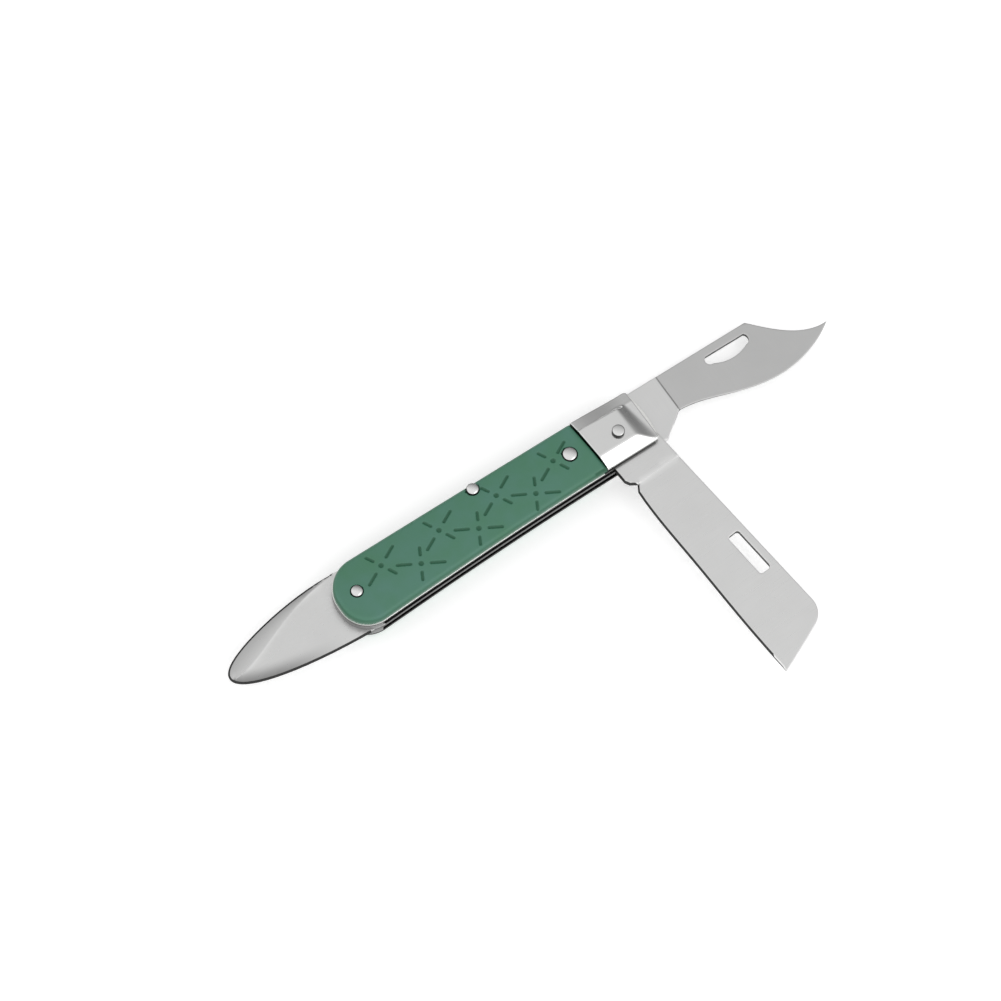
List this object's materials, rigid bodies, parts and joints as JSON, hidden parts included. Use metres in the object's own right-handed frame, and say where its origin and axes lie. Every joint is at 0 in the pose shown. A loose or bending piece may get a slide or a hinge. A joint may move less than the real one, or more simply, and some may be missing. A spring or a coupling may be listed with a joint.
{
  "type": "folding grafting knife",
  "caption": "Slip-joint folding knife for grafting and whittling: a straight and a curved blade on one pivot, green scales, steel bolsters and a fixed bark opener.",
  "frame": {"origin": "middle of the knife's footprint with the curved blade open and the straight blade at its half stop, on the surface it lies on", "axes": "+X towards the bolster and the open blade, -X towards the bark opener, +Y the spring side of the handle, -Y the side the blades swing out of, +Z the front face"},
  "size_m": [0.1896, 0.088, 0.0129],
  "materials": {
    "scale_plastic": "satin moulded",
    "bolster_steel": "polished",
    "liner_steel": "satin",
    "blade_steel": "fine cross-ground satin",
    "spring_steel": "satin",
    "opener_steel": "satin",
    "pin_steel": "polished dome"
  },
  "bodies": {
    "handle": {"front_scale": "scale_plastic", "back_scale": "scale_plastic", "front_bolster": "bolster_steel", "back_bolster": "bolster_steel", "front_liner": "liner_steel", "back_liner": "liner_steel", "straight_blade_spring": "spring_steel", "curved_blade_spring": "spring_steel", "bark_opener_plate": "opener_steel", "pivot_pin": "pin_steel", "spring_pin": "pin_steel", "tail_pin": "pin_steel", "front_scale_rivet": "pin_steel", "back_scale_rivet": "pin_steel"},
    "straight_blade": {"straight_blade": "blade_steel"},
    "curved_blade": {"curved_blade": "blade_steel"}
  },
  "joints": [
    {"name": "straight_blade_pivot", "type": "hinge", "parent": "handle", "child": "straight_blade", "pos_m": [0.02685, 0.03397, 0.0059], "axis": [0, 0, 1], "range_deg": [-88, 86], "deforming": ["straight_blade_spring"]},
    {"name": "curved_blade_pivot", "type": "hinge", "parent": "handle", "child": "curved_blade", "pos_m": [0.02685, 0.03397, 0.0059], "axis": [0, 0, 1], "range_deg": [-174, 0], "deforming": ["curved_blade_spring"]}
  ]
}
